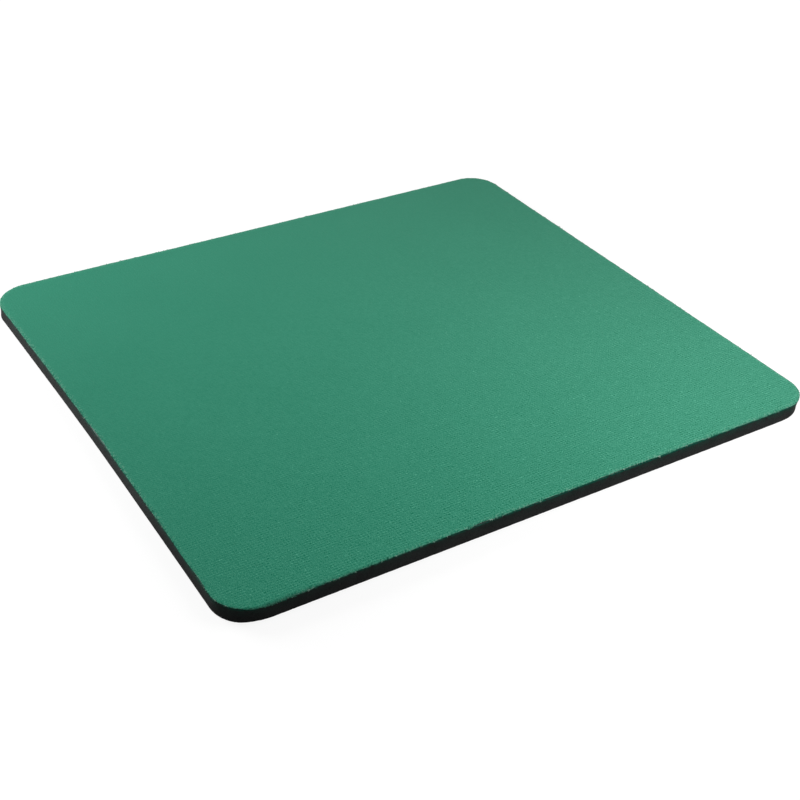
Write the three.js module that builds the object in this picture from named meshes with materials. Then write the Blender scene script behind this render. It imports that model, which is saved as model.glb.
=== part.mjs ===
// A mouse pad: knitted cloth laminated to a sheet of foam rubber, then die-cut to one outline.
// Millimetres, +Z up. The origin is the centre of the face that rests on the desk.
// +X runs along the long sides to the right, and +Y points away from the user.
import * as THREE from 'three';

// Plan of the pad, cut through all its layers at once.
const PAD_WIDTH = 250;
const PAD_DEPTH = 225;
const CORNER_RADIUS = 13;
// The far left corner is cut a little rounder than the others.
const FAR_LEFT_CORNER_RADIUS = 14.5;
// How far the middle of the left side draws in from the line between its corners.
const LEFT_SIDE_BOW = 1;

// Layers, from the desk up. Each lies on the one before it over its whole face.
const FOAM_THICKNESS = 5.5;
const ADHESIVE_THICKNESS = 0.1;
const CLOTH_THICKNESS = 0.4;

// The blade presses from above: it rolls the cloth's top edge over.
const CLOTH_EDGE_ROLL = 0.3;
// Foam is squeezed under the blade and springs back, so the cut side is slightly hollow.
const FOAM_SIDE_HOLLOW = 0.2;

// How many straight steps stand for each round stretch.
const CORNER_STEPS = 20;
const BOW_STEPS = 16;
const ROLL_STEPS = 4;
const HOLLOW_STEPS = 6;

const CLOTH_GREEN = '#3b8a70';
const FOAM_BLACK = '#161819';
const ADHESIVE_DARK_GREEN = '#16302a';

const QUARTER_TURN = Math.PI / 2;

/** The four corners, anticlockwise from the far right one: the sides of X and Y they lie on, and their radii. */
const CORNERS = [
  { sideX: 1, sideY: 1, radius: CORNER_RADIUS },
  { sideX: -1, sideY: 1, radius: FAR_LEFT_CORNER_RADIUS },
  { sideX: -1, sideY: -1, radius: CORNER_RADIUS },
  { sideX: 1, sideY: -1, radius: CORNER_RADIUS },
];
const FAR_LEFT_CORNER = 1;

/** Points of one rounded corner, from its first side to its second. */
function cornerPoints(corner, inset) {
  const { sideX, sideY, radius } = CORNERS[corner];
  const centreX = sideX * (PAD_WIDTH / 2 - radius);
  const centreY = sideY * (PAD_DEPTH / 2 - radius);
  const reach = radius - inset;
  const points = [];
  for (let step = 0; step <= CORNER_STEPS; step += 1) {
    const angle = (corner + step / CORNER_STEPS) * QUARTER_TURN;
    points.push(new THREE.Vector2(centreX + reach * Math.cos(angle), centreY + reach * Math.sin(angle)));
  }
  return points;
}

/** Points of the left side between its two corners, on the parabola that draws it in. */
function leftSidePoints(inset) {
  const farEnd = PAD_DEPTH / 2 - FAR_LEFT_CORNER_RADIUS;
  const nearEnd = -(PAD_DEPTH / 2 - CORNER_RADIUS);
  const middle = (farEnd + nearEnd) / 2;
  const halfStraight = (farEnd - nearEnd) / 2;
  const points = [];
  for (let step = 1; step < BOW_STEPS; step += 1) {
    const shareOfHalf = 1 - (2 * step) / BOW_STEPS;
    const drawnIn = LEFT_SIDE_BOW * (1 - shareOfHalf ** 2);
    points.push(new THREE.Vector2(-PAD_WIDTH / 2 + inset + drawnIn, middle + halfStraight * shareOfHalf));
  }
  return points;
}

/** The pad's outline, anticlockwise, moved inwards by an inset. */
function padOutline(inset) {
  const points = [];
  CORNERS.forEach((_, corner) => {
    points.push(...cornerPoints(corner, inset));
    if (corner === FAR_LEFT_CORNER) points.push(...leftSidePoints(inset));
  });
  return points;
}

/** A closed layer through outlines that are stacked from the bottom up, each with an inset and a height. */
function stackedLayer(levels) {
  const outlines = levels.map((level) => padOutline(level.inset));
  const count = outlines[0].length;
  const positions = [];
  outlines.forEach((outline, index) => {
    outline.forEach((point) => positions.push(point.x, point.y, levels[index].height));
  });

  const triangles = [];
  for (let low = 0; low < (levels.length - 1) * count; low += count) {
    const high = low + count;
    for (let i = 0; i < count; i += 1) {
      const next = (i + 1) % count;
      triangles.push(low + i, low + next, high + next);
      triangles.push(low + i, high + next, high + i);
    }
  }
  const top = (levels.length - 1) * count;
  THREE.ShapeUtils.triangulateShape(outlines[0], []).forEach(([a, b, c]) => triangles.push(c, b, a));
  THREE.ShapeUtils.triangulateShape(outlines.at(-1), []).forEach(([a, b, c]) => {
    triangles.push(top + a, top + b, top + c);
  });

  const geometry = new THREE.BufferGeometry();
  geometry.setAttribute('position', new THREE.Float32BufferAttribute(positions, 3));
  geometry.setIndex(triangles);
  geometry.computeVertexNormals();
  return geometry;
}

/** Foam rubber base: flat above and below, with a cut side that is a little hollow at mid-height. */
function foamRubberBase() {
  const levels = [];
  for (let step = 0; step <= HOLLOW_STEPS; step += 1) {
    const share = step / HOLLOW_STEPS;
    levels.push({
      inset: FOAM_SIDE_HOLLOW * Math.sin(Math.PI * share),
      height: FOAM_THICKNESS * share,
    });
  }
  const material = new THREE.MeshStandardMaterial({ color: FOAM_BLACK, roughness: 0.95, metalness: 0 });
  return new THREE.Mesh(stackedLayer(levels), material);
}

/** Adhesive film: a plain layer under the whole cloth. */
function adhesiveFilm() {
  const levels = [
    { inset: 0, height: 0 },
    { inset: 0, height: ADHESIVE_THICKNESS },
  ];
  const material = new THREE.MeshStandardMaterial({ color: ADHESIVE_DARK_GREEN, roughness: 0.6, metalness: 0 });
  return new THREE.Mesh(stackedLayer(levels), material);
}

/** Fabric cover: flat underneath, with a rounded top edge where the cut rolls the cloth over. */
function fabricCover() {
  const levels = [{ inset: 0, height: 0 }];
  for (let step = 0; step <= ROLL_STEPS; step += 1) {
    const angle = (step / ROLL_STEPS) * QUARTER_TURN;
    levels.push({
      inset: CLOTH_EDGE_ROLL * (1 - Math.cos(angle)),
      height: CLOTH_THICKNESS - CLOTH_EDGE_ROLL * (1 - Math.sin(angle)),
    });
  }
  const material = new THREE.MeshStandardMaterial({ color: CLOTH_GREEN, roughness: 0.9, metalness: 0 });
  return new THREE.Mesh(stackedLayer(levels), material);
}

const mousePad = new THREE.Group();
mousePad.name = 'mouse_pad';

/** Names a layer and lays it at its height in the stack. */
function addLayer(name, mesh, height) {
  mesh.name = name;
  mesh.position.z = height;
  mousePad.add(mesh);
}

addLayer('foam_rubber_base', foamRubberBase(), 0);
addLayer('adhesive_film', adhesiveFilm(), FOAM_THICKNESS);
addLayer('fabric_cover', fabricCover(), FOAM_THICKNESS + ADHESIVE_THICKNESS);

export default mousePad;
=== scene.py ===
# A mouse pad on a white floor: knitted green cloth on black foam rubber, with a raw cut edge.
# Lengths are in metres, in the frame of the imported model, or in millimetres where a comment says so.
import math

import bpy
import numpy as np
from mathutils import Matrix, Vector
from mathutils.geometry import delaunay_2d_cdt


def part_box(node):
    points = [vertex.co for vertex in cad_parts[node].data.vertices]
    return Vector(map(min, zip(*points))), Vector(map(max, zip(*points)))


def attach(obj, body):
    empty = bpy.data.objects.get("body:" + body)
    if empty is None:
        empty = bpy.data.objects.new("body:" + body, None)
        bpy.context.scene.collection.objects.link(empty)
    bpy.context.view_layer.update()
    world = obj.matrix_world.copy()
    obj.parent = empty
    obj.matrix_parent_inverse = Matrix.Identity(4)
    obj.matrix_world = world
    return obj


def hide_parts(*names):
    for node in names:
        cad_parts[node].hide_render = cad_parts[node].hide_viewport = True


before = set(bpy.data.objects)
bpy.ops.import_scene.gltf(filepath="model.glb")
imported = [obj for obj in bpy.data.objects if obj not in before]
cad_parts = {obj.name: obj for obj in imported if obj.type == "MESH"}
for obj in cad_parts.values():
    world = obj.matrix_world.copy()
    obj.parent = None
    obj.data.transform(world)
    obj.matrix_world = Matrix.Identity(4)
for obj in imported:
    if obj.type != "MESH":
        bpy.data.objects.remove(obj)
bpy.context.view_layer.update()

MM = 0.001

# The outline, which all layers share
CLOTH_LOW, CLOTH_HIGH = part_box("fabric_cover")
FILM_LOW, FILM_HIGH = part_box("adhesive_film")
FOAM_LOW, FOAM_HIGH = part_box("foam_rubber_base")
HALF_WIDTH = (CLOTH_HIGH.x - CLOTH_LOW.x) / 2
HALF_DEPTH = (CLOTH_HIGH.y - CLOTH_LOW.y) / 2
CORNER_RADIUS = 13 * MM
FAR_LEFT_CORNER_RADIUS = 14.5 * MM
LEFT_SIDE_BOW = 1 * MM

# The corners, anticlockwise from the far right one: the sides of X and Y they lie on, and their radii
CORNERS = [
    (1, 1, CORNER_RADIUS),
    (-1, 1, FAR_LEFT_CORNER_RADIUS),
    (-1, -1, CORNER_RADIUS),
    (1, -1, CORNER_RADIUS),
]

# How far apart the points of each layer's outline lie
CLOTH_SPACING = 0.3 * MM
FILM_SPACING = 0.6 * MM
FOAM_SPACING = 0.5 * MM

# The points inside a layer's flat faces: how far apart they lie, and how far from the outline they start
FLAT_SPACING = 8 * MM
FLAT_INSET = 4 * MM

# The knit: courses run along X, wales along Y
COURSE_PITCH = 0.53 * MM
WALE_PITCH = 0.60 * MM

# The cloth's top, which isn't quite flat: the depth of its waves, and their length and seed
TOP_WAVE_DEPTH = 0.036 * MM
TOP_WAVE = (14 * MM, 21)

# The points inside the cloth's top: a finer grid, and a loop that leads to it from the rolled edge
TOP_SPACING = 2 * MM
TOP_INSET = 1.5 * MM
LEAD_SPACING = 0.9 * MM
LEAD_INSET = 0.7 * MM

# How the cloth rolls over towards its cut edge: the inset, and the share of the way down to the lip
EDGE_ROLL = [
    (0.02 * MM, 1.00),
    (0.00 * MM, 0.86),
    (0.03 * MM, 0.67),
    (0.09 * MM, 0.49),
    (0.20 * MM, 0.33),
    (0.36 * MM, 0.20),
    (0.56 * MM, 0.10),
    (0.90 * MM, 0.04),
    (1.60 * MM, 0.012),
    (3.00 * MM, 0.00),
]

# The back of the lip: the insets of the flat underside's border, of the bend where the lip starts down
# and of the bend just above its end, and how far above its end that one lies
UNDERSIDE_INSET = 0.80 * MM
LIP_START_INSET = 0.18 * MM
LIP_BEND_INSET = 0.09 * MM
LIP_BEND_RISE = 0.03 * MM

# How deep the cloth's cut edge reaches below its top, from place to place round the pad, in millimetres
LIP_DEPTHS = [
    ((121, 108), 0.46),
    ((-121, 108), 0.46),
    ((-124, 90), 0.48),
    ((-124, 76), 0.40),
    ((-124, 62), 0.27),
    ((-124, 40), 0.22),
    ((-124, 20), 0.15),
    ((-124, -6), 0.10),
    ((-124, -20), 0.15),
    ((-124, -45), 0.26),
    ((-124, -66), 0.32),
    ((-124, -84), 0.13),
    ((-124, -96), 0.09),
    ((-121, -108), 0.35),
    ((-105, -112), 1.10),
    ((-97, -112), 0.80),
    ((-86, -112), 0.40),
    ((-68, -112), 0.38),
    ((-58, -112), 0.34),
    ((-44, -112), 0.18),
    ((-22, -112), 0.26),
    ((-6, -112), 0.14),
    ((6, -112), 0.18),
    ((28, -112), 0.10),
    ((40, -112), 0.22),
    ((54, -112), 0.48),
    ((90, -112), 0.54),
    ((104, -112), 0.84),
    ((121, -108), 0.50),
]
SHALLOWEST_LIP = 0.07

# Waves of the lip's depth: how deep they are, in millimetres, and their length and seed
LIP_WAVES = [
    (0.06, 9 * MM, 11),
    (0.06, 4 * MM, 12),
    (0.08, 1.6 * MM, 13),
]

# Where the lip's waves are deepest, in millimetres, and by how many times their depth they grow there
MOST_UNEVEN_PLACE = (78, -112.5)
MOST_UNEVEN_REACH = 50.0
MOST_UNEVEN_GROWTH = 2.2

# Teeth in step with the knit, and bites out of the lip: how deep they are, in millimetres, and the
# length and seed of the waves that say where they are
TOOTH_DEPTH = 0.10
TOOTH_WAVE = (11 * MM, 16)
BITE_DEPTH = 0.75
BITE_WAVE = (1.7 * MM, 14)
BITTEN_STRETCH_WAVE = (19 * MM, 15)

# How far inside the outline the cloth's edge is cut, in millimetres, and its waves, as above. The long
# ones are those of the lip's depth, so the lip stands out where it is deep.
CUT_INSET = 0.03
CUT_WAVES = [
    (0.05, 1.3 * MM, 17),
    (-0.07, 9 * MM, 11),
]

# Flaws of the cloth's cut edge, in millimetres: the middle of each, half its length, how much deeper
# the lip reaches there, and how far it is cut in or, with a minus, stands out
EDGE_FLAWS = [
    ((-83, -112.5), 0.9, 0.20, 0.0),
    ((-67.6, -112.5), 0.8, 0.18, 0.0),
    ((-61, -112.5), 1.1, 0.20, 0.0),
    ((-50, -112.5), 0.9, 0.16, 0.0),
    ((-35.6, -112.5), 1.8, 0.95, -0.05),
    ((-30.6, -112.5), 4.2, -0.12, 0.38),
    ((-10, -112.5), 48.0, 0.0, 0.09),
    ((-6.5, -112.5), 1.0, 0.20, 0.0),
    ((1.7, -112.5), 1.0, 0.22, 0.0),
    ((23, -112.5), 9.0, 0.0, 0.10),
    ((30.5, -112.5), 1.0, 0.28, 0.0),
    ((33, -112.5), 9.0, -0.04, 0.24),
    ((36.6, -112.5), 0.9, 0.22, 0.0),
    ((46.9, -112.5), 0.9, 0.22, 0.0),
    ((51.8, -112.5), 1.3, 0.22, 0.0),
    ((54.8, -112.5), 1.0, 0.20, 0.0),
    ((60, -112.5), 1.3, 0.24, 0.0),
    ((69, -112.5), 3.5, 0.14, 0.0),
    ((82, -112.5), 4.0, -0.14, 0.0),
    ((95, -112.5), 4.5, 0.28, 0.0),
    ((106, -112.5), 2.6, 0.26, 0.0),
    ((-124.5, -91), 8.0, 0.0, 0.25),
    ((-124.5, -78), 1.0, 0.20, 0.0),
    ((-124, -50), 0.9, 0.24, 0.0),
    ((-124, -18), 1.0, 0.22, 0.0),
    ((-124, -6), 16.0, -0.02, 0.30),
    ((-124, 8), 0.9, 0.24, 0.0),
    ((-124, 27), 1.1, 0.22, 0.0),
    ((-124, 38), 1.0, 0.20, 0.0),
    ((-80, 112.5), 48.0, 0.0, -0.30),
    ((125, -40), 90.0, 0.0, -0.13),
]

# Tufts of cut yarn: the place of each in millimetres, and how large and pale it is, up to 1
TUFTS = [
    ((-96.6, -112.5), 0.4),
    ((-79.8, -112.5), 0.5),
    ((-64.7, -112.5), 0.4),
    ((-50, -112.5), 0.2),
    ((-26.7, -112.5), 1.0),
    ((-6.5, -112.5), 0.3),
    ((6.2, -112.5), 0.4),
    ((30.5, -112.5), 0.5),
    ((46.9, -112.5), 1.0),
    ((60, -112.5), 0.5),
    ((71, -112.5), 0.3),
    ((-124, -50), 0.4),
    ((-124, -18), 0.3),
    ((-124, 8), 0.4),
    ((-124, 38), 0.3),
    ((-125, 80), 0.4),
]

# What a tuft has at the least, and how much more at size 1: yarn ends, their scale and their paleness
TUFT_ENDS, TUFT_MORE_ENDS = 4, 7
TUFT_SCALE, TUFT_MORE_SCALE = 1.05, 0.35
TUFT_PALENESS, TUFT_MORE_PALENESS = 0.5, 0.5

# The other yarn ends stand in clusters: how many clusters there are, the most ends in each, and the
# seed of their draws
CLUSTERS = 500
MOST_ENDS = 3
YARN_SEED = 71

# How close the clusters stand: the length and seed of the waves, how much is added to them, the least
# that is left, and the share of it that the far sides get
CLUSTER_WAVE = (9 * MM, 72)
CLUSTER_EVENNESS = 0.35
LEAST_CLOSENESS = 0.10
FAR_SIDES_SHARE = 0.25

# One yarn end, in millimetres: how far inside the cut edge it starts, how far it is scattered about its
# cluster's middle, and its least and greatest length, radius and droop
YARN_INSET = 0.08
YARN_SCATTER = 0.10
YARN_LENGTHS = (0.22, 0.55)
YARN_RADII = (0.04, 0.09)
YARN_DROOPS = (0, 0.12)

# Where it starts, as a share of the way down the lip, and how much of its direction is outwards,
# sideways and up
YARN_START_SHARES = (0.25, 0.85)
OUTWARD_SHARES = (0.3, 1.0)
SIDEWAYS_SHARE = 0.7
UPWARD_SHARES = (-0.7, 0.4)

# Its form: how many sides it has, and the loops round it as shares of its length and its radius
YARN_SIDES = 5
YARN_LOOP_SHARES = [(0, 0.8), (0.35, 1.0), (0.75, 0.95), (1.0, 0.6)]

# The adhesive's rim: how far inside the outline it stays, in millimetres, its waves, as above, and how
# round it is
FILM_INSET = 0.20
FILM_WAVES = [
    (0.09, 3 * MM, 31),
    (0.05, 1.2 * MM, 32),
]
FILM_RIM_ROUNDING = 0.05 * MM

# The foam's cut side: its hollow, its roughness, the length of that, and in how many steps it is made
SIDE_HOLLOW = 0.2 * MM
SIDE_ROUGHNESS = 0.02 * MM
SIDE_ROUGHNESS_LENGTH = 1.3 * MM
SIDE_STEPS = 8

# The loops of its bottom edge and its top edge, in millimetres: inset, and distance from the face there
BOTTOM_EDGE = [(0.15, 0.0), (0.04, 0.05), (0.0, 0.17)]
TOP_EDGE = [(0.03, 0.32), (0.05, 0.20), (0.12, 0.10), (0.25, 0.03), (0.50, 0.0)]

# The seeds of the roughness: one for each loop, counted up from these
BOTTOM_EDGE_SEED = 41
SIDE_SEED = 44
TOP_EDGE_SEED = 60

# The foam's lower edge draws in at two corners and flares out along the sides between them, in
# millimetres: the middle of each stretch, how far it draws in there, and how far the stretch reaches
LOWER_EDGE = [
    ((119, -110.5), 0.70, 11.5),
    ((-115.5, -112), 0.42, 6.5),
    ((-125, 66), -0.18, 60.0),
    ((-124, 0), -0.06, 90.0),
    ((-124, -58), -0.18, 60.0),
    ((0, -112.5), -0.08, 130.0),
    ((100, -112.5), -0.15, 75.0),
]

# The relief that the foam's underside is moulded with, and how far its points stay inside the outline
# and inside the drawn-in edge
GRIP_PITCH = 4 * MM
GRIP_GROOVE_WIDTH = 1.0 * MM
GRIP_GROOVE_DEPTH = 0.3 * MM
GRIP_INSET = 0.20 * MM
GRIP_EDGE_INSET = 0.35 * MM

# Its grooves notch the cut side by this share of their depth. What lies over a notch stays above it by
# at least this share of its own height.
NOTCH_SHARE = 0.4
NOTCH_SPREAD_SHARE = 0.2

# Kept on the cloth's mesh: how far each point lies from the edge, in millimetres, and how far down the
# cut edge, from 0 on top to 1 at the lip
FROM_EDGE = "from_edge"
FAR_FROM_EDGE = 5.0
DOWN_THE_EDGE = "down_the_edge"

# Kept on the yarn ends' mesh: how little dye each of them took
UNDYED = "undyed"

# What the triangulation is asked for: triangles inside the edges that it is given, and how close
# points lie that count as one
INSIDE_THE_EDGES = 1
SAME_POINT_DISTANCE = 1e-9

# The camera stands where the photograph was taken from. Its lens and sensor are in millimetres.
CAMERA_PLACE = Vector((-252.55 * MM, -392.99 * MM, 298.38 * MM))
CAMERA_TARGET = Vector((-20.10 * MM, -26.41 * MM, 6 * MM))
CAMERA_ROLL = math.radians(2.107)
CAMERA_LENS = 61.72
CAMERA_SENSOR = 36
CAMERA_SHIFT_X = 0.03
CAMERA_SHIFT_Y = -0.015
CAMERA_CLIP_START = 10 * MM

# The lamps: the name of each, its place, the length of its sides and its power in watts
SOFTBOXES = [
    ("near softbox", (126 * MM, -128 * MM, 187 * MM), 200 * MM, 0.49),
    ("far softbox", (-322 * MM, 481 * MM, 254 * MM), 350 * MM, 4.3),
]
SKY_STRENGTH = 0.16

# The floor. A ray that reaches it in less than the clearance comes from the pad's underside.
FLOOR_SIZE = 6
FLOOR_DROP = 0.05 * MM
FLOOR_GLOW = 1.08
FLOOR_CLEARANCE = 0.6 * MM

# Round the pad the floor shows some of its shadow: how much, how far from the middle that starts to
# fade, and where it ends, in millimetres
SHADOW_SHARE = 0.2
SHADOW_FADES_FROM = 150
SHADOW_ENDS = 260


class Outline:
    """Points of the pad's outline, anticlockwise from the far right corner, about one spacing apart."""

    def __init__(self, spacing):
        x, y = HALF_WIDTH - CORNER_RADIUS, HALF_DEPTH - CORNER_RADIUS
        left_x, left_y = HALF_WIDTH - FAR_LEFT_CORNER_RADIUS, HALF_DEPTH - FAR_LEFT_CORNER_RADIUS
        stretches = [
            self.corner(0, spacing),
            self.straight((x, HALF_DEPTH), (-left_x, HALF_DEPTH), spacing),
            self.corner(1, spacing),
            self.bowed_side(left_y, -y, spacing),
            self.corner(2, spacing),
            self.straight((-x, -HALF_DEPTH), (x, -HALF_DEPTH), spacing),
            self.corner(3, spacing),
            self.straight((HALF_WIDTH, -y), (HALF_WIDTH, y), spacing),
        ]
        self.points = np.concatenate([points for points, _ in stretches])
        self.normals = np.concatenate([normals for _, normals in stretches])
        self.tangents = np.stack([-self.normals[:, 1], self.normals[:, 0]], axis=1)
        steps = np.linalg.norm(np.roll(self.points, -1, axis=0) - self.points, axis=1)
        self.along = np.concatenate([[0.0], np.cumsum(steps)[:-1]])
        self.length = float(steps.sum())

    @staticmethod
    def shares(length, spacing):
        """Even shares of a stretch, from its start up to but without its end."""
        count = max(1, round(length / spacing))
        return np.arange(count) / count

    def corner(self, quarter, spacing):
        side_x, side_y, radius = CORNERS[quarter]
        share = self.shares(radius * math.pi / 2, spacing)
        angle = (quarter + share) * math.pi / 2
        normals = np.stack([np.cos(angle), np.sin(angle)], axis=1)
        centre = np.array([side_x * (HALF_WIDTH - radius), side_y * (HALF_DEPTH - radius)])
        return centre + radius * normals, normals

    def straight(self, start, end, spacing):
        start, end = np.array(start), np.array(end)
        way = end - start
        share = self.shares(np.linalg.norm(way), spacing)[:, None]
        normal = np.array([way[1], -way[0]]) / np.linalg.norm(way)
        return start + share * way, np.repeat(normal[None], len(share), axis=0)

    def bowed_side(self, far_end, near_end, spacing):
        """The left side, which a parabola draws in."""
        middle = (far_end + near_end) / 2
        half_straight = (far_end - near_end) / 2
        half_share = 1 - 2 * self.shares(2 * half_straight, spacing)
        x = -HALF_WIDTH + LEFT_SIDE_BOW * (1 - half_share**2)
        slope = -2 * LEFT_SIDE_BOW * half_share / half_straight
        normals = np.stack([-np.ones_like(slope), slope], axis=1)
        normals /= np.linalg.norm(normals, axis=1)[:, None]
        return np.stack([x, middle + half_straight * half_share], axis=1), normals

    def ring(self, inset, height):
        """The outline moved inwards by inset, at height: one number each, or one for each point."""
        inset = np.broadcast_to(inset, len(self.points))
        height = np.broadcast_to(height, len(self.points))
        flat = self.points - self.normals * inset[:, None]
        return np.column_stack([flat, height])

    def nearest(self, place):
        """Which of the points lies nearest to a place given in millimetres."""
        away = self.points - np.array(place) * MM
        return np.argmin(np.hypot(away[:, 0], away[:, 1]))

    def between(self, stations):
        """A value that runs evenly round the outline between stations, each a place and a value."""
        places = [self.along[self.nearest(place)] for place, _ in stations]
        return np.interp(self.along, places, [value for _, value in stations], period=self.length)

    def wavering(self, length, seed):
        """Smooth noise from -1 to 1 that runs round the outline, with a new value every length."""
        count = max(3, round(self.length / length))
        knots = np.random.default_rng(seed).uniform(-1, 1, count)
        place = self.along / self.length * count
        low = np.floor(place).astype(int) % count
        share = smooth(place - np.floor(place))
        return knots[low] * (1 - share) + knots[(low + 1) % count] * share

    def waves(self, parts):
        """The sum of several waverings, each given as its depth, its length and its seed."""
        return sum(depth * self.wavering(length, seed) for depth, length, seed in parts)


def smooth(share):
    """A share from 0 to 1 that starts and ends gently."""
    return share * share * (3 - 2 * share)


def value_noise(points, length, seed):
    """Smooth noise from -1 to 1 over flat points, with a new value every length."""
    low_corner = -np.array([HALF_WIDTH, HALF_DEPTH]) - length
    place = (points - low_corner) / length
    low = np.floor(place).astype(int)
    share = smooth(place - low)
    table = np.random.default_rng(seed).uniform(-1, 1, tuple(low.max(axis=0) + 2))
    x, y = low[:, 0], low[:, 1]
    near = table[x, y] * (1 - share[:, 0]) + table[x + 1, y] * share[:, 0]
    far = table[x, y + 1] * (1 - share[:, 0]) + table[x + 1, y + 1] * share[:, 0]
    return near * (1 - share[:, 1]) + far * share[:, 1]


def bump(points, place, reach):
    """1 at a place and smoothly down to 0 at this reach from it, both given in millimetres."""
    away = points - np.array(place) * MM
    share = np.clip(np.hypot(away[:, 0], away[:, 1]) / (reach * MM), 0, 1)
    return (1 - share**2) ** 2


def inside(points, inset):
    """Which flat points lie within the outline moved inwards by inset: one number, or one for each."""
    x, y = points[:, 0], points[:, 1]
    within = (np.abs(x) < HALF_WIDTH - inset) & (np.abs(y) < HALF_DEPTH - inset)
    within &= x > -HALF_WIDTH + LEFT_SIDE_BOW + inset
    for side_x, side_y, radius in CORNERS:
        past_x = side_x * x - (HALF_WIDTH - radius)
        past_y = side_y * y - (HALF_DEPTH - radius)
        in_corner = (past_x > 0) & (past_y > 0)
        within &= ~(in_corner & (np.hypot(past_x, past_y) > radius - inset))
    return within


def evenly(half_length, spacing):
    """Evenly spaced places from -half_length to half_length."""
    count = round(2 * half_length / spacing)
    return np.linspace(-half_length, half_length, count + 1)


def grid_points(spacing, inset):
    """Points of a square grid that lie within the outline moved inwards by inset."""
    x, y = np.meshgrid(evenly(HALF_WIDTH, spacing), evenly(HALF_DEPTH, spacing), indexing="ij")
    points = np.column_stack([x.ravel(), y.ravel()])
    return points[inside(points, inset)]


def level_at(height):
    """Gives any points the same height."""
    return lambda points: np.full(len(points), height)


def put(name, data):
    """A new object in the scene."""
    made = bpy.data.objects.new(name, data)
    bpy.context.scene.collection.objects.link(made)
    return made


class Skin:
    """Collects the vertices and faces of closed forms, and builds them as one piece."""

    def __init__(self):
        self.vertices = []
        self.faces = []
        self.count = 0

    def add_points(self, points):
        first = self.count
        self.vertices.append(np.asarray(points, dtype=float))
        self.count += len(points)
        return first

    def add_wall(self, rings):
        """Quads between loops of equally many points, from the lowest to the highest on the outside."""
        firsts = [self.add_points(ring) for ring in rings]
        size = len(rings[0])
        here = np.arange(size)
        beyond = (here + 1) % size
        for low, high in zip(firsts[:-1], firsts[1:]):
            quads = np.column_stack([low + here, low + beyond, high + beyond, high + here])
            self.faces.extend(quads.tolist())
        return firsts

    def add_cap(self, first, ring, loose, height_of, faces_up):
        """Triangles across a loop that is already there, through loose flat points inside it."""
        size = len(ring)
        flat = [Vector(point[:2]) for point in ring] + [Vector(point) for point in loose]
        edges = [(i, (i + 1) % size) for i in range(size)]
        made = delaunay_2d_cdt(flat, edges, [], INSIDE_THE_EDGES, SAME_POINT_DISTANCE)
        places, triangles, sources = made[0], made[2], made[3]
        new = [i for i, source in enumerate(sources) if not source or source[0] >= size]
        xy = np.array([places[i] for i in new]).reshape(-1, 2)
        start = self.add_points(np.column_stack([xy, height_of(xy)]))
        index = {i: start + k for k, i in enumerate(new)}
        for i, source in enumerate(sources):
            if i not in index:
                index[i] = first + source[0]
        for triangle in triangles:
            corners = [index[i] for i in triangle]
            self.faces.append(corners if faces_up else corners[::-1])

    def build(self, name, material):
        mesh = bpy.data.meshes.new(name)
        mesh.from_pydata(np.concatenate(self.vertices).tolist(), [], self.faces)
        mesh.validate()
        mesh.polygons.foreach_set("use_smooth", [True] * len(mesh.polygons))
        mesh.materials.append(material)
        piece = put(name, mesh)
        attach(piece, "root")
        return piece


def keep(piece, name, values):
    """Keeps one value for each vertex on the piece's mesh, for its material to read."""
    piece.data.attributes.new(name, "FLOAT", "POINT").data.foreach_set("value", values)


class Nodes:
    """A tree of shader nodes. A socket or a plain value can feed any input."""

    def __init__(self, tree):
        self.tree = tree
        self.tree.nodes.clear()

    def node(self, kind, inputs=(), **settings):
        made = self.tree.nodes.new("ShaderNode" + kind)
        for setting, value in settings.items():
            setattr(made, setting, value)
        for socket, value in dict(inputs).items():
            if isinstance(value, bpy.types.NodeSocket):
                self.tree.links.new(value, made.inputs[socket])
            else:
                made.inputs[socket].default_value = value
        return made

    def math(self, operation, *values):
        return self.node("Math", enumerate(values), operation=operation).outputs[0]

    def add(self, *values):
        total = values[0]
        for value in values[1:]:
            total = self.math("ADD", total, value)
        return total

    def times(self, *values):
        product = values[0]
        for value in values[1:]:
            product = self.math("MULTIPLY", product, value)
        return product

    def centred(self, value):
        """A value from 0 to 1, moved to lie about 0."""
        return self.add(value, -0.5)

    def rest(self, share):
        """What a share leaves of 1."""
        return self.math("SUBTRACT", 1.0, share)

    def rescale(self, value, low, high, to_low=0.0, to_high=1.0):
        """Maps low..high to to_low..to_high, smoothly and clamped."""
        inputs = {"Value": value, "From Min": low, "From Max": high, "To Min": to_low, "To Max": to_high}
        return self.node("MapRange", inputs, interpolation_type="SMOOTHSTEP").outputs["Result"]

    def seen_directly(self):
        """1 for rays that come from the camera, or by way of gloss or glass."""
        path = self.node("LightPath").outputs
        seen = self.math("MAXIMUM", path["Is Camera Ray"], path["Is Glossy Ray"])
        return self.math("MAXIMUM", seen, path["Is Transmission Ray"])


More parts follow.
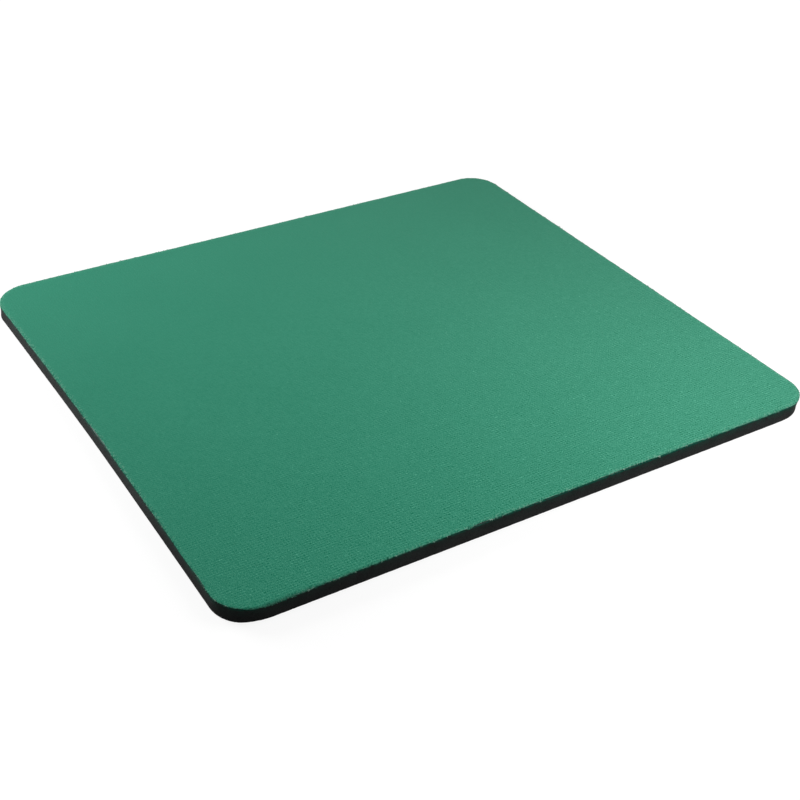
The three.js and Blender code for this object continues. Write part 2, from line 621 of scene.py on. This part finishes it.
class Recipe(Nodes):
    """The nodes of one material. Places and sizes in it are in millimetres."""

    def __init__(self, name):
        self.material = bpy.data.materials.new(name)
        self.material.use_nodes = True
        super().__init__(self.material.node_tree)

    def place(self):
        """The point on the piece."""
        coordinates = self.node("TexCoord").outputs["Object"]
        return self.node("VectorMath", {0: coordinates, "Scale": 1 / MM}, operation="SCALE").outputs[0]

    def from_front_corner(self, place):
        """How far the place lies from the front left corner at desk height."""
        corner = (-HALF_WIDTH / MM, -HALF_DEPTH / MM, 0.0)
        return self.node("VectorMath", {0: place, 1: corner}, operation="DISTANCE").outputs["Value"]

    def kept(self, name):
        """What the mesh keeps under this name."""
        return self.node("Attribute", attribute_name=name).outputs["Fac"]

    def split(self, vector):
        return self.node("SeparateXYZ", {0: vector}).outputs

    def join(self, x, y):
        return self.node("CombineXYZ", {"X": x, "Y": y}).outputs[0]

    def noise(self, vector, size, detail=2.0):
        """Smooth noise about 0.5, with lumps of about this size in the vector's own units."""
        inputs = {"Vector": vector, "Scale": 1 / size, "Detail": detail}
        return self.node("TexNoise", inputs).outputs["Fac"]

    def cells(self, place, size):
        """How far the place lies from the middle of its cell, as a share of the cells' size."""
        inputs = {"Vector": place, "Scale": 1 / size, "Randomness": 1.0}
        return self.node("TexVoronoi", inputs).outputs["Distance"]

    def dice(self, u, v):
        """A random value from 0 to 1 for each cell between whole numbers of u and v."""
        cell = self.join(self.math("FLOOR", u), self.math("FLOOR", v))
        return self.node("TexWhiteNoise", {"Vector": cell}, noise_dimensions="2D").outputs["Value"]

    def mix(self, share, first, second, blend_type="MIX"):
        """A blend of two colours. In the node they are sockets 6 and 7, and the result is socket 2."""
        inputs = {0: share, 6: first, 7: second}
        return self.node("Mix", inputs, data_type="RGBA", blend_type=blend_type).outputs[2]

    def shade(self, colour, amount):
        """The colour, with each channel multiplied by amount."""
        grey = self.node("CombineColor", {0: amount, 1: amount, 2: amount}).outputs[0]
        return self.mix(1.0, colour, grey, "MULTIPLY")

    def tint(self, colour, amount, direction):
        """The colour, moved by amount times a direction, and never quite black."""
        change = self.node("VectorMath", {0: direction, "Scale": amount}, operation="SCALE").outputs[0]
        moved = self.node("VectorMath", {0: colour, 1: change}, operation="ADD").outputs[0]
        return self.node("VectorMath", {0: moved, 1: DARKEST}, operation="MAXIMUM").outputs[0]

    def finish(self, shader_inputs, height, depth):
        """A principled shader with a relief of this depth in metres, as the material's surface."""
        relief = self.node("Bump", {"Height": height, "Distance": depth, "Strength": 1.0})
        shader = self.node("BsdfPrincipled", {**shader_inputs, "Normal": relief.outputs[0]})
        self.node("OutputMaterial", {"Surface": shader.outputs[0]})
        return self.material


def rgb(red, green, blue):
    return (red, green, blue, 1.0)


DARKEST = (0.003, 0.003, 0.003)
WHITE = rgb(1, 1, 1)
WHITE_PAPER = rgb(0.95, 0.95, 0.95)
GREY_PAPER = rgb(0.15, 0.15, 0.15)

# The cloth: its dye at the left and at the right, the right's paler as painted light where the lamps
# fall brightest, how that changes with the painted highlight where a thread catches the light, pale
# filaments, painted shade in the gaps between threads and on the lip, and the sheen
CLOTH_LEFT = rgb(0.0297, 0.2455, 0.152)
CLOTH_RIGHT = rgb(0.0460, 0.2455, 0.155)
CLOTH_GLEAM = (0.092, 0.243, 0.187)
CLOTH_PALE = rgb(0.16, 0.40, 0.29)
CLOTH_SHADOW = rgb(0.008, 0.075, 0.048)
CLOTH_SHEEN = rgb(0.75, 1.0, 0.88)
KNIT_DEPTH = 0.05 * MM

YARN_DYED = rgb(0.05, 0.26, 0.17)
YARN_UNDYED = rgb(0.36, 0.56, 0.46)
FILAMENT_DEPTH = 0.02 * MM

GLUE_DARK = rgb(0.005, 0.035, 0.025)
GLUE_SOAKED = rgb(0.010, 0.080, 0.056)
GLUE_DEPTH = 0.03 * MM

FOAM_BLACK = rgb(0.0385, 0.0412, 0.0405)
FOAM_LINT = rgb(0.075, 0.085, 0.080)
FOAM_FIBRES = rgb(0.011, 0.125, 0.085)
PORE_DEPTH = 0.06 * MM

SKIN_BLACK = rgb(0.020, 0.021, 0.021)
SKIN_DUST = rgb(0.060, 0.062, 0.060)
GRAIN_DEPTH = 0.03 * MM


def knit(recipe, place):
    """The colour of the knit and the height of its relief: V-shaped stitches of uneven yarn, with
    painted highlight and shade in the colour.
    """
    x, y, _ = recipe.split(place)
    drift = recipe.noise(place, size=7.0)
    jitter = recipe.times(recipe.centred(recipe.noise(place, size=1.7, detail=1.0)), 1.5)
    wale = recipe.add(recipe.times(x, MM / WALE_PITCH), recipe.times(drift, 0.5), jitter)
    course = recipe.add(recipe.times(y, MM / COURSE_PITCH), recipe.times(drift, 0.4), jitter)

    # Each stitch is a V: two yarn legs that slope from the borders of its wale to the middle
    # In the colour, the gaps between the legs are darkened with painted shade
    across = recipe.math("FRACT", wale)
    from_middle = recipe.times(recipe.math("ABSOLUTE", recipe.centred(across)), 2.0)
    along = recipe.math("FRACT", recipe.add(course, recipe.times(from_middle, 0.55)))
    leg = recipe.math("SINE", recipe.times(along, math.pi))
    dome = recipe.rest(recipe.times(from_middle, from_middle))
    stitch = recipe.add(recipe.times(leg, 0.6), recipe.times(dome, 0.4))

    # Every second wale and every second course lies lower, as in a double knit
    # In the colour, painted shade darkens the lower wales and courses
    low_wale = recipe.math("SINE", recipe.times(wale, math.pi))
    low_course = recipe.math("SINE", recipe.times(course, math.pi))
    looseness = recipe.rescale(recipe.noise(place, size=4.0), 0.3, 0.7, 0.3, 1.7)
    lattice = recipe.add(recipe.times(low_wale, 0.7), recipe.times(low_course, 1.4))
    lattice = recipe.times(lattice, looseness)

    # No two stitches reflect alike, and a few of them glint with a painted highlight
    stitch_dice = recipe.dice(wale, course)
    glint = recipe.rescale(stitch_dice, 0.988, 1.0)

    # A yarn leg that lies high gets a painted highlight, and painted shade falls on the legs beside and
    # behind it
    leg_column = recipe.times(wale, 2.0)
    own_height = recipe.dice(leg_column, course)
    beside = recipe.dice(recipe.add(leg_column, 1.0), course)
    behind = recipe.dice(leg_column, recipe.add(course, 1.0))
    standing_out = recipe.add(own_height, recipe.times(beside, -0.5), recipe.times(behind, -0.5))

    # The knit's painted highlight and shade, and its soft nap, are strongest at the near right and
    # weaker towards the far left
    nearness = recipe.times(y, -1.0)
    crispness = recipe.rescale(recipe.add(recipe.times(x, 0.35), nearness), -60, 120, 0.17, 1.0)
    nap_strength = recipe.rescale(recipe.add(recipe.times(x, 0.2), nearness), -110, 20, 0.2, 1.0)
    mottle = recipe.centred(recipe.noise(place, size=38.0, detail=1.0))
    nap = recipe.centred(recipe.noise(place, size=1.3, detail=1.0))
    # Painted highlight and shade of the stitches, with tone that differs at random
    detail = recipe.add(
        recipe.times(recipe.add(stitch, -0.65), 0.5),
        recipe.times(lattice, 0.08),
        recipe.times(recipe.centred(stitch_dice), 0.10),
        recipe.times(standing_out, 0.42),
        recipe.times(glint, 0.35),
    )
    gleam = recipe.add(
        recipe.times(detail, crispness),
        recipe.times(nap, nap_strength, 0.22),
        recipe.times(mottle, 0.05),
    )
    # The dye turns paler towards the right as painted light, where the lamps fall brightest
    dye = recipe.mix(recipe.rescale(x, -150, 150), CLOTH_LEFT, CLOTH_RIGHT)
    height = recipe.add(
        recipe.times(stitch, 0.7),
        recipe.times(lattice, 0.2),
        recipe.times(standing_out, 0.4),
    )
    return recipe.tint(dye, gleam, CLOTH_GLEAM), height


def frayed(recipe, place, colour):
    """The cloth's colour as it changes at the cut edge.

    First comes a shoulder of pale slanted fibres with painted shade in the gaps between them, then the
    compressed lip, darkened with painted shade.
    """
    x, y, _ = recipe.split(place)
    from_edge = recipe.kept(FROM_EDGE)
    down_the_edge = recipe.kept(DOWN_THE_EDGE)
    from_corner = recipe.from_front_corner(place)

    slant = recipe.join(recipe.add(x, recipe.times(y, -1.0)), recipe.times(recipe.add(x, y), 0.4))
    fibres = recipe.noise(slant, size=0.75)
    pale_fibres = recipe.times(
        recipe.rescale(from_edge, 0.6, 2.2, 0.62, 0.0),
        recipe.rescale(fibres, 0.50, 0.66),
        recipe.rescale(from_corner, 15, 100, 0.25, 1.0),
    )
    # Painted shade in the gaps between the fibres
    gaps = recipe.times(
        recipe.rescale(from_edge, 0.2, 1.2, 0.85, 0.0),
        recipe.rescale(fibres, 0.48, 0.35),
        recipe.rescale(x, -60, 90, 1.0, 0.5),
        recipe.rescale(from_corner, 15, 60, 0.6, 1.0),
    )
    pale_band = recipe.times(
        recipe.rescale(down_the_edge, 0.22, 0.52),
        recipe.rescale(recipe.noise(place, size=2.2, detail=4.0), 0.47, 0.60),
        recipe.rescale(from_corner, 15, 100, 0.5, 1.0),
    )
    # The lip under the rolled edge is darkened with painted shade
    lip = recipe.rescale(down_the_edge, 0.76, 1.0)

    colour = recipe.mix(pale_fibres, colour, CLOTH_PALE)
    colour = recipe.mix(gaps, colour, CLOTH_SHADOW)
    colour = recipe.mix(recipe.times(pale_band, 0.70), colour, CLOTH_PALE)
    return recipe.mix(recipe.times(lip, 0.88), colour, CLOTH_SHADOW)


def knitted_cloth():
    """Knitted polyester, with a frayed cut edge."""
    recipe = Recipe("knitted polyester")
    place = recipe.place()
    colour, height = knit(recipe, place)
    inputs = {
        "Base Color": frayed(recipe, place, colour),
        "Roughness": 0.86,
        "Specular IOR Level": 0.10,
        "Sheen Weight": 0.03,
        "Sheen Roughness": 0.45,
        "Sheen Tint": CLOTH_SHEEN,
    }
    return recipe.finish(inputs, height, KNIT_DEPTH)


def raw_yarn():
    """Cut yarn ends, some of them with pale filaments that took little dye."""
    recipe = Recipe("raw yarn ends")
    colour = recipe.mix(recipe.kept(UNDYED), YARN_DYED, YARN_UNDYED)
    squeeze = {0: recipe.place(), 1: (1.0, 1.0, 4.0)}
    squeezed = recipe.node("VectorMath", squeeze, operation="MULTIPLY").outputs[0]
    filaments = recipe.noise(squeezed, size=0.06, detail=1.0)
    inputs = {"Base Color": colour, "Roughness": 0.9, "Specular IOR Level": 0.3}
    return recipe.finish(inputs, filaments, FILAMENT_DEPTH)


def bonding_film():
    """Dark adhesive, soaked up by the cloth in places."""
    recipe = Recipe("bonding film")
    place = recipe.place()
    soaked = recipe.rescale(recipe.noise(place, size=1.6, detail=3.0), 0.4, 0.62)
    inputs = {
        "Base Color": recipe.mix(soaked, GLUE_DARK, GLUE_SOAKED),
        "Roughness": 0.6,
        "Specular IOR Level": 0.4,
    }
    return recipe.finish(inputs, recipe.noise(place, size=0.4), GLUE_DEPTH)


def foam_rubber():
    """Black foam rubber, cut through: fine cells, specks of lint, green fibres along the top."""
    recipe = Recipe("black foam rubber")
    place = recipe.place()
    x, y, z = recipe.split(place)

    pores = recipe.rescale(recipe.cells(place, size=0.33), 0.15, 0.55, 1.0, 0.0)
    big_pores = recipe.rescale(recipe.cells(place, size=0.8), 0.05, 0.28, 1.0, 0.0)
    grime = recipe.noise(place, size=6.0, detail=4.0)
    dust = recipe.noise(place, size=0.5)
    # Painted shade darkens the pores and the larger cells
    tone = recipe.add(
        1.0,
        recipe.times(pores, -0.45),
        recipe.times(big_pores, -0.25),
        recipe.times(recipe.centred(grime), 0.75),
        recipe.times(recipe.centred(dust), 0.5),
    )

    # Painted shade darkens the side round the front left corner and at the near end of the left side,
    # and painted light makes it a little lighter towards the right
    left_end_shade = recipe.times(recipe.rescale(x, -122, -124), recipe.rescale(y, -38, -66, 0.0, 0.34))
    tone = recipe.times(
        tone,
        recipe.rescale(recipe.from_front_corner(place), 15, 80, 0.66, 1.0),
        recipe.rest(left_end_shade),
        recipe.rescale(x, -80, 110, 1.0, 1.20),
    )
    colour = recipe.shade(FOAM_BLACK, tone)
    lint = recipe.rescale(recipe.cells(place, size=2.3), 0.085, 0.05)
    colour = recipe.mix(recipe.times(lint, 0.55), colour, FOAM_LINT)

    # The blade dragged green fibres down over the foam's upper edge
    top = FOAM_HIGH.z / MM
    fibres = recipe.add(
        recipe.rescale(z, top - 0.65, top - 0.20, 0.0, 0.8),
        recipe.rescale(z, top - 4.0, top, 0.0, 0.24),
    )
    fibres = recipe.times(
        fibres,
        recipe.rescale(recipe.noise(place, size=2.5, detail=3.0), 0.25, 0.55),
        recipe.rescale(x, -60, 90, 0.6, 1.8),
    )
    height = recipe.add(
        recipe.times(pores, -0.8),
        recipe.times(big_pores, -0.8),
        recipe.times(dust, 0.5),
    )
    inputs = {
        "Base Color": recipe.mix(fibres, colour, FOAM_FIBRES),
        "Roughness": 0.82,
        "Specular IOR Level": 0.065,
    }
    return recipe.finish(inputs, height, PORE_DEPTH)


def moulded_skin():
    """The foam's closed underside: grained rubber with dust on its lozenges and clean grooves."""
    recipe = Recipe("moulded rubber skin")
    place = recipe.place()
    z = recipe.split(place)[2]
    raised = recipe.rescale(z, 0.0, 0.4 * GRIP_GROOVE_DEPTH / MM, 1.0, 0.0)
    patches = recipe.rescale(recipe.noise(place, size=22.0, detail=5.0), 0.35, 0.7, 0.35, 1.0)
    dust = recipe.times(raised, patches)
    grain = recipe.noise(place, size=0.35)
    tone = recipe.add(1.0, recipe.times(recipe.centred(grain), 0.5))
    inputs = {
        "Base Color": recipe.shade(recipe.mix(dust, SKIN_BLACK, SKIN_DUST), tone),
        "Roughness": recipe.rescale(recipe.noise(place, size=6.0, detail=3.0), 0.3, 0.7, 0.50, 0.62),
        "Specular IOR Level": 0.28,
    }
    return recipe.finish(inputs, grain, GRAIN_DEPTH)


def lip_depth(outline):
    """How far the cloth's cut edge reaches below its top, at each point of the outline."""
    depth = outline.between(LIP_DEPTHS)
    for place, half_length, deeper, _ in EDGE_FLAWS:
        depth += deeper * bump(outline.points, place, half_length)
    most_uneven = bump(outline.points, MOST_UNEVEN_PLACE, MOST_UNEVEN_REACH)
    depth += outline.waves(LIP_WAVES) * (1 + MOST_UNEVEN_GROWTH * most_uneven)
    ragged = np.clip(0.5 + outline.wavering(*TOOTH_WAVE), 0, 1)
    teeth = ragged * TOOTH_DEPTH * np.cos(np.pi * outline.along / WALE_PITCH)
    bites = np.clip(outline.wavering(*BITE_WAVE) - 0.5, 0, 1)
    bites *= np.clip(outline.wavering(*BITTEN_STRETCH_WAVE) + 0.5, 0, 1)
    return np.maximum(depth + teeth - BITE_DEPTH * bites, SHALLOWEST_LIP) * MM


def cut_in(outline):
    """How far the cloth's cut edge lies inside the outline, at each point of it."""
    cut = CUT_INSET + outline.waves(CUT_WAVES)
    for place, half_length, _, inwards in EDGE_FLAWS:
        cut += inwards * bump(outline.points, place, half_length)
    return cut * MM


def fabric_cover(material):
    """The cloth: a thin closed layer that rolls over at its cut edge and ends in an uneven lip."""
    outline = Outline(CLOTH_SPACING)
    top = CLOTH_HIGH.z
    depth = lip_depth(outline)
    cut = cut_in(outline)
    rings = [
        outline.ring(UNDERSIDE_INSET, CLOTH_LOW.z),
        outline.ring(LIP_START_INSET + cut, CLOTH_LOW.z),
        outline.ring(LIP_BEND_INSET + cut, top - depth + LIP_BEND_RISE),
    ]
    evened_out = EDGE_ROLL[-2][0]
    for inset, share in EDGE_ROLL:
        follows = max(0, 1 - inset / evened_out)
        rings.append(outline.ring(inset + follows * cut, top - share * depth))

    def waving_top(points):
        return top - TOP_WAVE_DEPTH / 2 * (1 + value_noise(points, *TOP_WAVE))

    skin = Skin()
    firsts = skin.add_wall(rings)
    flat_inset = EDGE_ROLL[-1][0]
    lead = Outline(LEAD_SPACING).ring(flat_inset + LEAD_INSET, 0.0)[:, :2]
    fine = grid_points(TOP_SPACING, flat_inset + TOP_INSET)
    skin.add_cap(firsts[-1], rings[-1], np.concatenate([lead, fine]), waving_top, faces_up=True)
    coarse = grid_points(FLAT_SPACING, FLAT_INSET)
    skin.add_cap(firsts[0], rings[0], coarse, level_at(CLOTH_LOW.z), faces_up=False)

    piece = skin.build("cloth", material)
    from_edge = np.full(len(piece.data.vertices), FAR_FROM_EDGE)
    down_the_edge = np.zeros(len(piece.data.vertices))
    down_the_edge[:firsts[len(rings) - len(EDGE_ROLL)]] = 1.0
    for first, (inset, share) in zip(firsts[-len(EDGE_ROLL):], EDGE_ROLL):
        from_edge[first:first + len(outline.points)] = inset / MM
        down_the_edge[first:first + len(outline.points)] = share
    keep(piece, FROM_EDGE, from_edge)
    keep(piece, DOWN_THE_EDGE, down_the_edge)
    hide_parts("fabric_cover")
    return piece


def yarn_end(dice, root, outward, tangent, scale):
    """Loops round one yarn end of random size and direction, from its start to its tip."""
    length = dice.uniform(*YARN_LENGTHS) * scale * MM
    radius = dice.uniform(*YARN_RADII) * scale * MM
    way = outward * dice.uniform(*OUTWARD_SHARES) + tangent * dice.normal(0, SIDEWAYS_SHARE)
    way = way + np.array([0, 0, dice.uniform(*UPWARD_SHARES)])
    way /= np.linalg.norm(way)
    droop = np.array([0, 0, -dice.uniform(*YARN_DROOPS) * MM])
    start = root + tangent * dice.normal(0, YARN_SCATTER) * scale**2 * MM

    side = np.cross(way, [0, 0, 1])
    side /= np.linalg.norm(side)
    upright = np.cross(side, way)
    angles = np.arange(YARN_SIDES) * 2 * math.pi / YARN_SIDES
    circle = np.cos(angles)[:, None] * side + np.sin(angles)[:, None] * upright
    loops = []
    for share, width in YARN_LOOP_SHARES:
        centre = start + way * length * share + droop * share**2
        loops.append(centre + circle * radius * width)
    return loops


def yarn_ends(material):
    """Short ends of cut yarn that stand out of the cloth's lip: single ones, and a few pale tufts."""
    outline = Outline(CLOTH_SPACING)
    depth = lip_depth(outline)
    cut = cut_in(outline)
    dice = np.random.default_rng(YARN_SEED)

    closeness = np.clip(outline.wavering(*CLUSTER_WAVE) + CLUSTER_EVENNESS, LEAST_CLOSENESS, 1) ** 2
    on_far_sides = np.max(outline.normals, axis=1) > 0.5
    closeness[on_far_sides] *= FAR_SIDES_SHARE
    places = dice.choice(len(outline.points), CLUSTERS, replace=False, p=closeness / closeness.sum())

    # Each cluster is a point of the outline, how many ends stand there, their scale, and their paleness.
    # The cube keeps most of them dyed.
    clusters = [(i, dice.integers(1, MOST_ENDS + 1), 1.0, dice.uniform(0, 1) ** 3) for i in places]
    for place, size in TUFTS:
        count = round(TUFT_ENDS + TUFT_MORE_ENDS * size)
        scale = TUFT_SCALE + TUFT_MORE_SCALE * size
        paleness = TUFT_PALENESS + TUFT_MORE_PALENESS * size
        clusters.append((outline.nearest(place), count, scale, paleness))

    skin = Skin()
    undyed = []
    for i, count, scale, paleness in clusters:
        tangent = np.append(outline.tangents[i], 0)
        outward = np.append(outline.normals[i], 0)
        start_share = dice.uniform(*YARN_START_SHARES)
        root = outline.ring(YARN_INSET * MM + cut, CLOTH_HIGH.z - depth * start_share)[i]
        for _ in range(count):
            firsts = skin.add_wall(yarn_end(dice, root, outward, tangent, scale))
            skin.faces.append([firsts[0] + k for k in range(YARN_SIDES)][::-1])
            skin.faces.append([firsts[-1] + k for k in range(YARN_SIDES)])
            undyed += [paleness] * (YARN_SIDES * len(YARN_LOOP_SHARES))
    piece = skin.build("cut_edge_yarn_ends", material)
    keep(piece, UNDYED, undyed)
    return piece


def bonding_layer(material):
    """The adhesive: its rim stays a little inside the outline and wavers."""
    outline = Outline(FILM_SPACING)
    inset = (FILM_INSET + outline.waves(FILM_WAVES)) * MM
    rings = [
        outline.ring(inset + FILM_RIM_ROUNDING, FILM_LOW.z),
        outline.ring(inset, (FILM_LOW.z + FILM_HIGH.z) / 2),
        outline.ring(inset + FILM_RIM_ROUNDING, FILM_HIGH.z),
    ]
    skin = Skin()
    firsts = skin.add_wall(rings)
    coarse = grid_points(FLAT_SPACING, FLAT_INSET)
    skin.add_cap(firsts[0], rings[0], coarse, level_at(FILM_LOW.z), faces_up=False)
    skin.add_cap(firsts[-1], rings[-1], coarse, level_at(FILM_HIGH.z), faces_up=True)
    piece = skin.build("adhesive_layer", material)
    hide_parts("adhesive_film")


def lower_edge(points):
    """How far the foam's lower edge draws in from the outline near each of the points."""
    return sum(amount * bump(points, middle, reach) for middle, amount, reach in LOWER_EDGE) * MM


def grip_relief(points):
    """The height of the underside: V-shaped grooves in two directions, between flat lozenges."""
    deepest = np.zeros(len(points))
    for sign in (1, -1):
        across = (points[:, 0] + sign * points[:, 1]) / math.sqrt(2)
        from_groove = np.abs((across / GRIP_PITCH + 0.5) % 1 - 0.5) * GRIP_PITCH
        share = np.clip(1 - from_groove / (GRIP_GROOVE_WIDTH / 2), 0, 1)
        deepest = np.maximum(deepest, share)
    return FOAM_LOW.z + GRIP_GROOVE_DEPTH * deepest


def grip_points():
    """Where the middle and both borders of each groove cross those of the other direction."""
    count = math.ceil((HALF_WIDTH + HALF_DEPTH) / GRIP_PITCH)
    middles = np.arange(-count, count + 1) * GRIP_PITCH
    half_groove = GRIP_GROOVE_WIDTH / 2
    lines = np.sort(np.concatenate([middles, middles - half_groove, middles + half_groove]))
    first, second = np.meshgrid(lines, lines, indexing="ij")
    points = np.column_stack([(first + second).ravel(), (first - second).ravel()]) / math.sqrt(2)
    return points[inside(points, np.maximum(GRIP_INSET, GRIP_EDGE_INSET + lower_edge(points)))]


def foam_base(cut_material, skin_material):
    """The foam: a cut side that is a little hollow, a rounded top edge and a relief underneath."""
    outline = Outline(FOAM_SPACING)
    low, high = FOAM_LOW.z, FOAM_HIGH.z

    def level(inset, height, seed):
        """A loop round the side. The relief's grooves notch it where it runs low."""
        uneven = SIDE_ROUGHNESS * (1 + outline.wavering(SIDE_ROUGHNESS_LENGTH, seed))
        drawn_in = lower_edge(outline.points) * (high - height) / (high - low)
        ring = outline.ring(inset + uneven + drawn_in, height)
        notch = NOTCH_SHARE * (grip_relief(ring[:, :2]) - low)
        ring[:, 2] = np.maximum(ring[:, 2], low + notch + NOTCH_SPREAD_SHARE * (height - low))
        return ring

    rings = []
    for i, (inset, rise) in enumerate(BOTTOM_EDGE):
        rings.append(level(inset * MM, low + rise * MM, BOTTOM_EDGE_SEED + i))
    for step in range(1, SIDE_STEPS):
        share = step / SIDE_STEPS
        hollow = SIDE_HOLLOW * math.sin(math.pi * share)
        rings.append(level(hollow, low + share * (high - low), SIDE_SEED + step))
    for i, (inset, drop) in enumerate(TOP_EDGE):
        rings.append(level(inset * MM, high - drop * MM, TOP_EDGE_SEED + i))

    skin = Skin()
    firsts = skin.add_wall(rings)
    skin.add_cap(firsts[0], rings[0], grip_points(), grip_relief, faces_up=False)
    coarse = grid_points(FLAT_SPACING, FLAT_INSET)
    skin.add_cap(firsts[-1], rings[-1], coarse, level_at(high), faces_up=True)

    piece = skin.build("foam_rubber_sheet", cut_material)
    piece.data.materials.append(skin_material)
    for face in piece.data.polygons:
        faces_down = face.normal.z < -0.5
        if faces_down and face.center.z < low + GRIP_GROOVE_DEPTH:
            face.material_index = 1
    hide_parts("foam_rubber_base")


def facing(place, target):
    """The matrix of something that stands at a place and looks at a target."""
    return Matrix.Translation(place) @ (target - place).to_track_quat("-Z", "Y").to_matrix().to_4x4()


def camera():
    made = put("camera", bpy.data.cameras.new("camera"))
    made.matrix_world = facing(CAMERA_PLACE, CAMERA_TARGET) @ Matrix.Rotation(CAMERA_ROLL, 4, "Z")
    made.data.lens = CAMERA_LENS
    made.data.sensor_width = CAMERA_SENSOR
    made.data.shift_x = CAMERA_SHIFT_X
    made.data.shift_y = CAMERA_SHIFT_Y
    made.data.clip_start = CAMERA_CLIP_START
    bpy.context.scene.camera = made


def softbox(name, place, size, power):
    """A square lamp that faces the middle of the pad and doesn't show itself."""
    lamp = bpy.data.lights.new(name, "AREA")
    lamp.size = size
    lamp.energy = power
    made = put(name, lamp)
    made.visible_camera = False
    made.matrix_world = facing(Vector(place), Vector())


def white_surroundings():
    """White where it is seen, and an even grey sky as light."""
    world = bpy.data.worlds.new("surroundings")
    world.use_nodes = True
    bpy.context.scene.world = world
    nodes = Nodes(world.node_tree)
    brightness = {"Value": nodes.seen_directly(), "To Min": SKY_STRENGTH, "To Max": 1.0}
    strength = nodes.node("MapRange", brightness).outputs["Result"]
    background = nodes.node("Background", {"Color": WHITE, "Strength": strength}).outputs[0]
    nodes.node("OutputWorld", {"Surface": background})


def floor():
    """A white floor that keeps the pad's soft shadow. It is clear from below."""
    bpy.ops.mesh.primitive_plane_add(size=FLOOR_SIZE, location=(0, 0, -FLOOR_DROP))
    plane = bpy.context.object
    plane.name = "floor"
    recipe = Recipe("white floor")
    white = recipe.node("Emission", {"Color": WHITE, "Strength": FLOOR_GLOW}).outputs[0]
    white_paper = recipe.node("BsdfDiffuse", {"Color": WHITE_PAPER}).outputs[0]
    grey_paper = recipe.node("BsdfDiffuse", {"Color": GREY_PAPER}).outputs[0]
    clear = recipe.node("BsdfTransparent").outputs[0]
    from_middle = recipe.node("VectorMath", {0: recipe.place()}, operation="LENGTH").outputs["Value"]
    shadow = recipe.rescale(from_middle, SHADOW_FADES_FROM, SHADOW_ENDS, SHADOW_SHARE, 0.0)
    seen_floor = recipe.node("MixShader", {0: shadow, 1: white, 2: white_paper}).outputs[0]
    seen = recipe.seen_directly()
    surface = recipe.node("MixShader", {0: seen, 1: grey_paper, 2: seen_floor}).outputs[0]

    # The pad's underside lies within the clearance, so it is lit and seen through the floor
    path = recipe.node("LightPath").outputs
    close = recipe.math("LESS_THAN", path["Ray Length"], FLOOR_CLEARANCE)
    close = recipe.times(close, recipe.rest(path["Is Camera Ray"]))
    from_below = recipe.node("NewGeometry").outputs["Backfacing"]
    see_through = recipe.math("MAXIMUM", close, from_below)
    surface = recipe.node("MixShader", {0: see_through, 1: surface, 2: clear}).outputs[0]
    recipe.node("OutputMaterial", {"Surface": surface})
    plane.data.materials.append(recipe.material)


camera()

cloth = fabric_cover(knitted_cloth())
ends = yarn_ends(raw_yarn())
bonding_layer(bonding_film())
foam_base(foam_rubber(), moulded_skin())

floor()
white_surroundings()
for lamp in SOFTBOXES:
    softbox(*lamp)

bpy.context.scene.view_settings.view_transform = "Standard"
